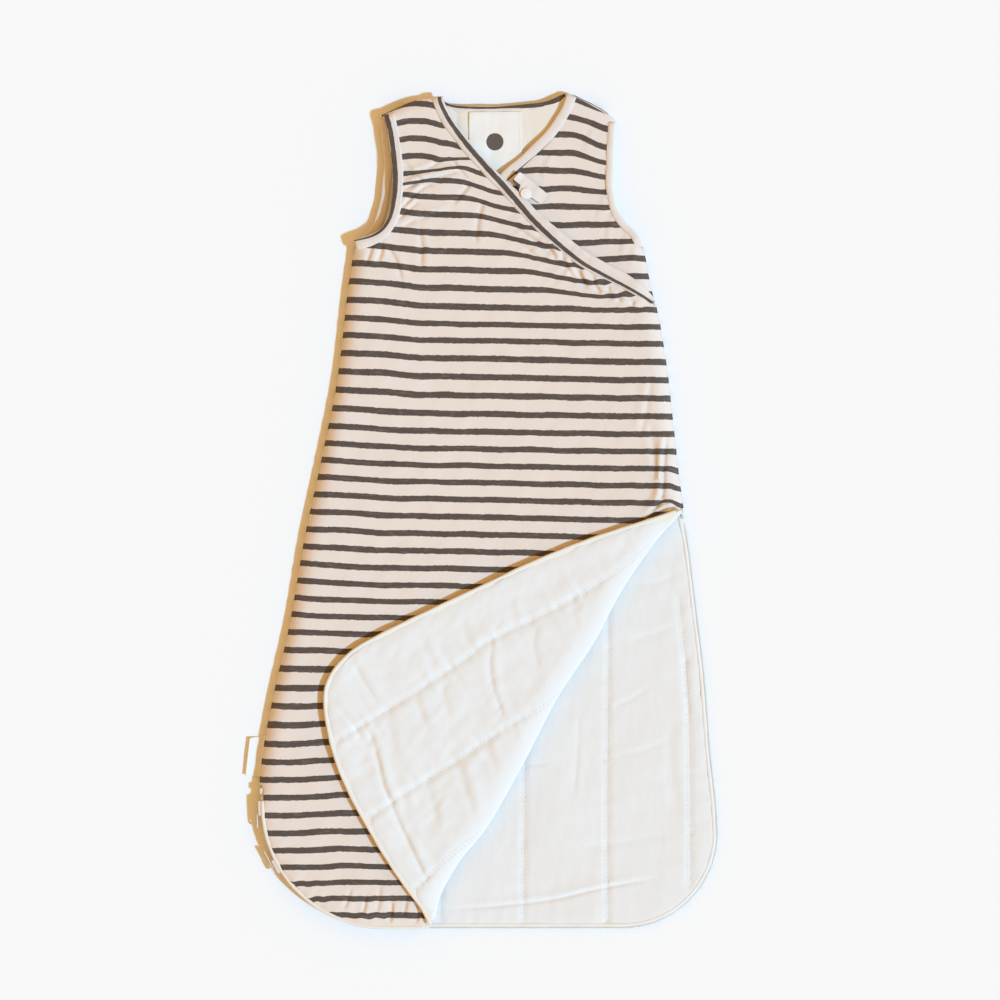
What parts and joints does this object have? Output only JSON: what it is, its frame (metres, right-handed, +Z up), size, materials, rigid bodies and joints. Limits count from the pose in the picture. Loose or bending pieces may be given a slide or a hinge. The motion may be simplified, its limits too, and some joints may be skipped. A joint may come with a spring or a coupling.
{
  "type": "baby sleeping bag",
  "caption": "Sleeveless quilted baby sleeping bag with a wrap front, striped outside and white lined, with a two-way zip round the hem and one corner folded open.",
  "frame": {"origin": "centre of the footprint, on the surface the bag lies on", "axes": "+Y from the hem to the neck, +X to the side where the zip is open, +Z up out of the front"},
  "size_m": [0.4239, 0.758, 0.0207],
  "materials": {
    "striped_cotton": "woven cotton with dark stripes",
    "muslin_lining": "soft white muslin",
    "batting": "loose polyester wadding",
    "cream_binding": "cream cotton bias binding",
    "label_cotton": "cream woven label tape",
    "zip_tape": "cream woven tape",
    "zip_coil": "cream nylon",
    "zip_metal": "cream enamel",
    "snap_plastic": "white resin"
  },
  "bodies": {
    "root": {"back_shell": "striped_cotton", "back_batting": "batting", "back_lining": "muslin_lining", "front_shell": "striped_cotton", "front_batting": "batting", "front_lining": "muslin_lining", "under_panel_shell": "striped_cotton", "under_panel_lining": "muslin_lining", "neckline_binding": "cream_binding", "left_armhole_binding": "cream_binding", "right_armhole_binding": "cream_binding", "left_side_seam": "striped_cotton", "right_side_seam": "striped_cotton", "left_shoulder_seam": "striped_cotton", "right_shoulder_seam": "striped_cotton", "neck_label": "label_cotton", "snap_stud": "snap_plastic", "snap_backing": "snap_plastic", "zip_tape_back": "zip_tape", "zip_coil_back": "zip_coil", "zip_tape_front": "zip_tape", "zip_coil_front": "zip_coil", "zip_end_stop": "zip_metal", "zip_top_stop": "zip_metal"},
    "flap": {"flap_shell": "striped_cotton", "flap_batting": "batting", "flap_lining": "muslin_lining", "zip_tape_flap": "zip_tape", "zip_coil_flap": "zip_coil"},
    "upper_slider": {"upper_slider": "zip_metal"},
    "upper_pull": {"upper_pull": "zip_metal"},
    "lower_slider": {"lower_slider": "zip_metal"},
    "lower_pull": {"lower_pull": "zip_metal"},
    "snap_tab": {"snap_tab": "cream_binding", "snap_cap": "snap_plastic", "snap_socket": "snap_plastic"},
    "side_label": {"side_label": "label_cotton"}
  },
  "joints": [
    {"name": "flap_fold", "type": "hinge", "parent": "root", "child": "flap", "pos_m": [0.1797, -0.0009, 0.01515], "axis": [0.5184, 0.8551, 0], "range_deg": [0, 180]},
    {"name": "upper_slider_run", "type": "hinge", "parent": "root", "child": "upper_slider", "pos_m": [-0.09, -0.266, 0.0075], "axis": [0, 0, 1], "range_deg": [0, 7]},
    {"name": "lower_slider_run", "type": "hinge", "parent": "root", "child": "lower_slider", "pos_m": [-0.09, -0.266, 0.0075], "axis": [0, 0, 1], "range_deg": [0, 55]},
    {"name": "upper_pull_swing", "type": "hinge", "parent": "upper_slider", "child": "upper_pull", "pos_m": [-0.20586, -0.26903, 0.0075], "axis": [0, 0, -1], "range_deg": [0, 170]},
    {"name": "lower_pull_swing", "type": "hinge", "parent": "lower_slider", "child": "lower_pull", "pos_m": [-0.19087, -0.32307, 0.0075], "axis": [0, 0, 1], "range_deg": [0, 170]},
    {"name": "tab_lift", "type": "hinge", "parent": "root", "child": "snap_tab", "pos_m": [0.0282, 0.3025, 0.0156], "axis": [-0.6192, -0.7853, 0], "range_deg": [0, 150]},
    {"name": "side_label_lift", "type": "hinge", "parent": "root", "child": "side_label", "pos_m": [-0.1996, -0.204, 0.0009], "axis": [0.1165, 0.9932, 0], "range_deg": [0, 90]}
  ]
}
